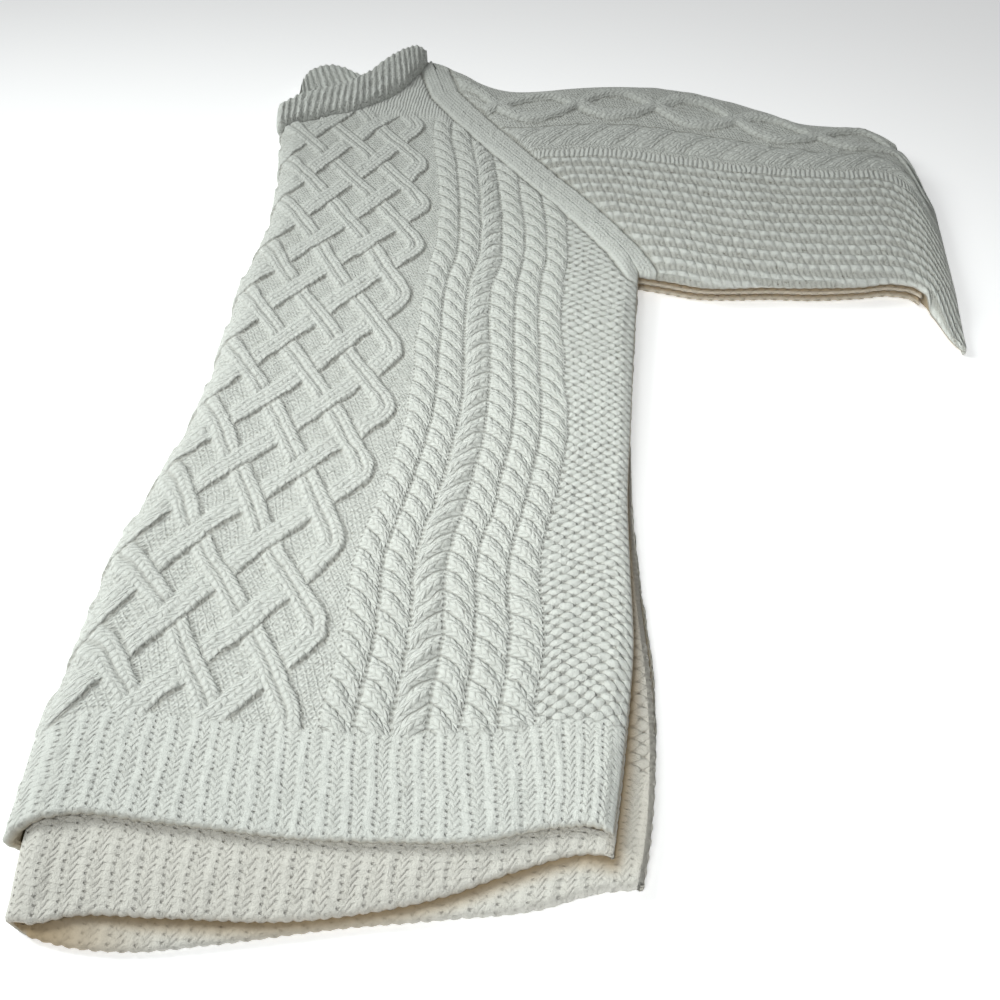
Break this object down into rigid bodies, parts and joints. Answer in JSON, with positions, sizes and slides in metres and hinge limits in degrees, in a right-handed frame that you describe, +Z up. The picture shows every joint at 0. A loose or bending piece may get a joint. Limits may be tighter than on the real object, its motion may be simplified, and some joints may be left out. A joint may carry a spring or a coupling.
{
  "type": "cable knit sweater",
  "caption": "Cream cable knit pullover with raglan sleeves, folded in half along its centre line and laid flat.",
  "frame": {"origin": "middle of the folded garment's outline, on the surface it lies on", "axes": "+Y from the hem to the neck, +X from the centre front fold to the sleeves, +Z up from the surface"},
  "size_m": [0.538, 0.7944, 0.0301],
  "materials": {
    "front wool": "matte",
    "back wool": "matte",
    "right sleeve wool": "matte",
    "left sleeve wool": "matte",
    "neckband wool": "matte"
  },
  "bodies": {
    "root": {"front": "front wool", "back": "back wool", "sleeve_right": "right sleeve wool", "sleeve_left": "left sleeve wool", "neckband": "neckband wool"}
  },
  "joints": []
}
